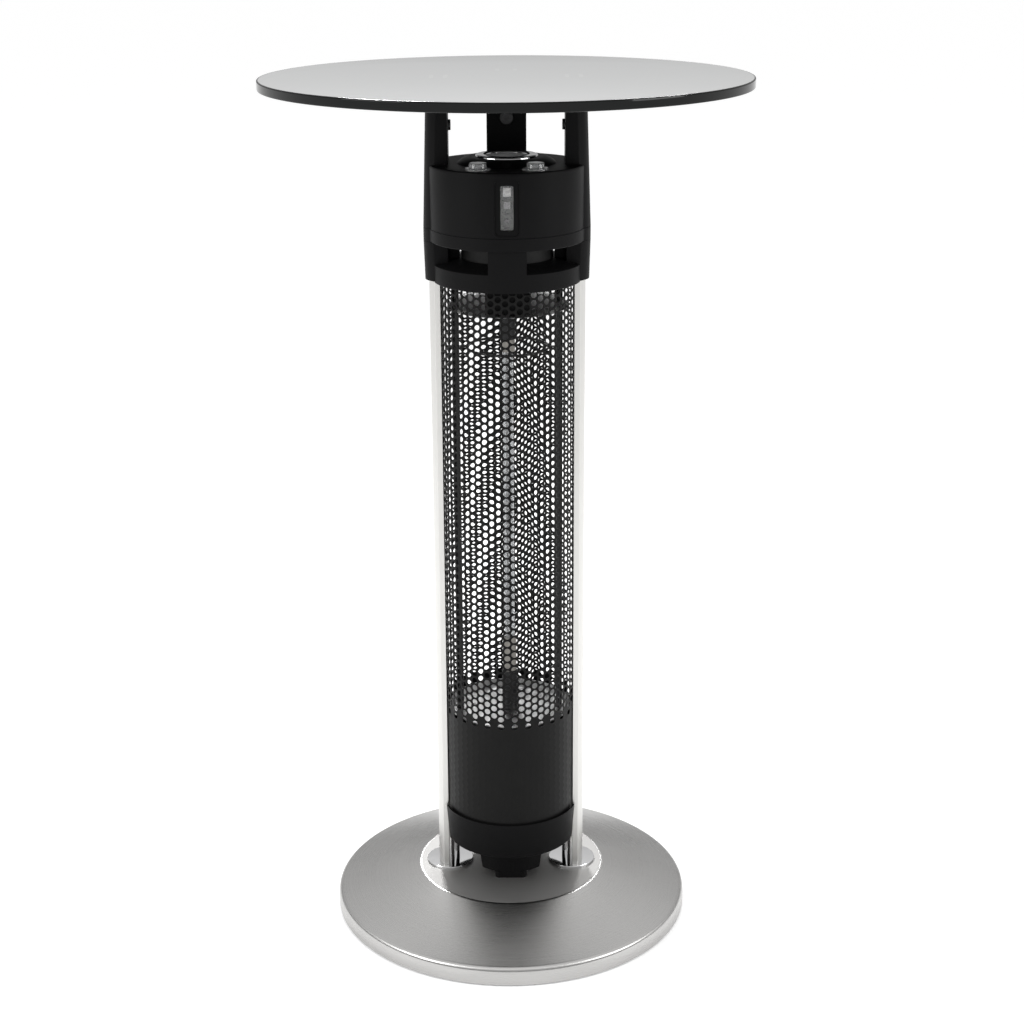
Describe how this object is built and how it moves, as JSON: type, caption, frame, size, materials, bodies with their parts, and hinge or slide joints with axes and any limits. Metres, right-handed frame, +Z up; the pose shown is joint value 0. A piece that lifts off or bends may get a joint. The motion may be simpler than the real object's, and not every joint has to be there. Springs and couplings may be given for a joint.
{
  "type": "outdoor table heater",
  "caption": "Standing electric table heater: round tinted glass top on three arms over a control drum, upright lamp in a perforated guard between two posts, weighted spun steel base.",
  "frame": {"origin": "middle of the base, on the floor", "axes": "+Z up along the lamp, -Y towards the front window and the switches, +X to the right seen from the front"},
  "size_m": [0.5999, 0.6, 1.105],
  "materials": {
    "stainless": "spun and brushed stainless steel",
    "chrome": "polished chrome plate",
    "anodised": "satin anodised extrusion",
    "guard_paint": "satin black powder coat on steel sheet",
    "reflector": "bright aluminium sheet",
    "quartz": "clear quartz tube",
    "coil": "resistance wire",
    "ceramic": null,
    "black_steel": "blackened steel",
    "iron": "painted cast iron",
    "steel": "zinc plated steel",
    "rubber": "black rubber",
    "pale_silicone": "pale translucent silicone",
    "clear_silicone": "clear silicone",
    "smoked_glass": "dark tinted tempered glass, polished edge",
    "clear_plastic": "clear moulded plastic",
    "board": "circuit board with its parts",
    "pale_plastic": "natural nylon",
    "grey_mesh": "fine grey metal mesh",
    "cone_paper": "pressed paper cone",
    "switch_plastic": "smooth black plastic",
    "black_plastic": "fine-textured black glass-filled plastic"
  },
  "bodies": {
    "heater": {"arm_back": "black_plastic", "arm_left": "black_plastic", "arm_right": "black_plastic", "arm_screws": "black_steel", "arm_washers": "black_steel", "ballast_disc": "iron", "base_cover": "stainless", "bottom_cup": "black_plastic", "button_switch": "switch_plastic", "cable_foot": "black_plastic", "closing_plate": "steel", "cone_surround": "rubber", "control_board": "board", "control_dome": "black_plastic", "display_board": "board", "drum_housing": "black_plastic", "glass_brackets": "steel", "glass_pads": "pale_silicone", "glass_top": "smoked_glass", "guard_seat": "steel", "guard_tube": "guard_paint", "heat_shield": "reflector", "housing_screws": "steel", "lamp_caps": "ceramic", "lamp_coil": "coil", "lamp_holders": "ceramic", "lamp_hoop": "black_steel", "lamp_tube": "quartz", "lower_housing": "black_plastic", "lower_reflector": "reflector", "middle_ring": "black_plastic", "post_bolts": "steel", "post_flanges": "chrome", "post_left": "anodised", "post_right": "anodised", "post_screws": "steel", "receiver_dome": "clear_plastic", "rubber_feet": "rubber", "spacer_tubes": "steel", "speaker_basket": "black_steel", "speaker_grille": "grey_mesh", "speaker_magnet": "iron", "speaker_trim": "chrome", "support_tubes": "chrome", "switch_body_left": "switch_plastic", "switch_body_right": "switch_plastic", "switch_boot_left": "clear_silicone", "switch_boot_right": "clear_silicone", "terminal_box": "black_plastic", "terminal_strip": "pale_plastic", "tip_switch": "switch_plastic", "upper_reflector": "reflector", "window_frame": "black_plastic", "window_lens": "clear_plastic", "wiring_rods": "black_steel"},
    "rocker_left_body": {"rocker_left": "switch_plastic"},
    "rocker_right_body": {"rocker_right": "switch_plastic"},
    "button_body": {"push_button": "switch_plastic"},
    "cone_body": {"speaker_cone": "cone_paper"}
  },
  "joints": [
    {"name": "rocker_left_tilt", "type": "hinge", "parent": "heater", "child": "rocker_left_body", "pos_m": [-0.0343, -0.068, 1.002], "axis": [0, 1, 0], "range_deg": [0, 16]},
    {"name": "rocker_right_tilt", "type": "hinge", "parent": "heater", "child": "rocker_right_body", "pos_m": [0.0343, -0.068, 1.002], "axis": [0, 1, 0], "range_deg": [0, 16]},
    {"name": "button_press", "type": "slide", "parent": "heater", "child": "button_body", "axis": [0, 0.5736, -0.8192], "range_m": [0, 0.0012], "stiffness_N_per_m": 800},
    {"name": "cone_travel", "type": "slide", "parent": "heater", "child": "cone_body", "axis": [0, 0, 1], "range_m": [-0.0006, 0.0006], "stiffness_N_per_m": 1500, "deforming": ["cone_surround"]}
  ]
}
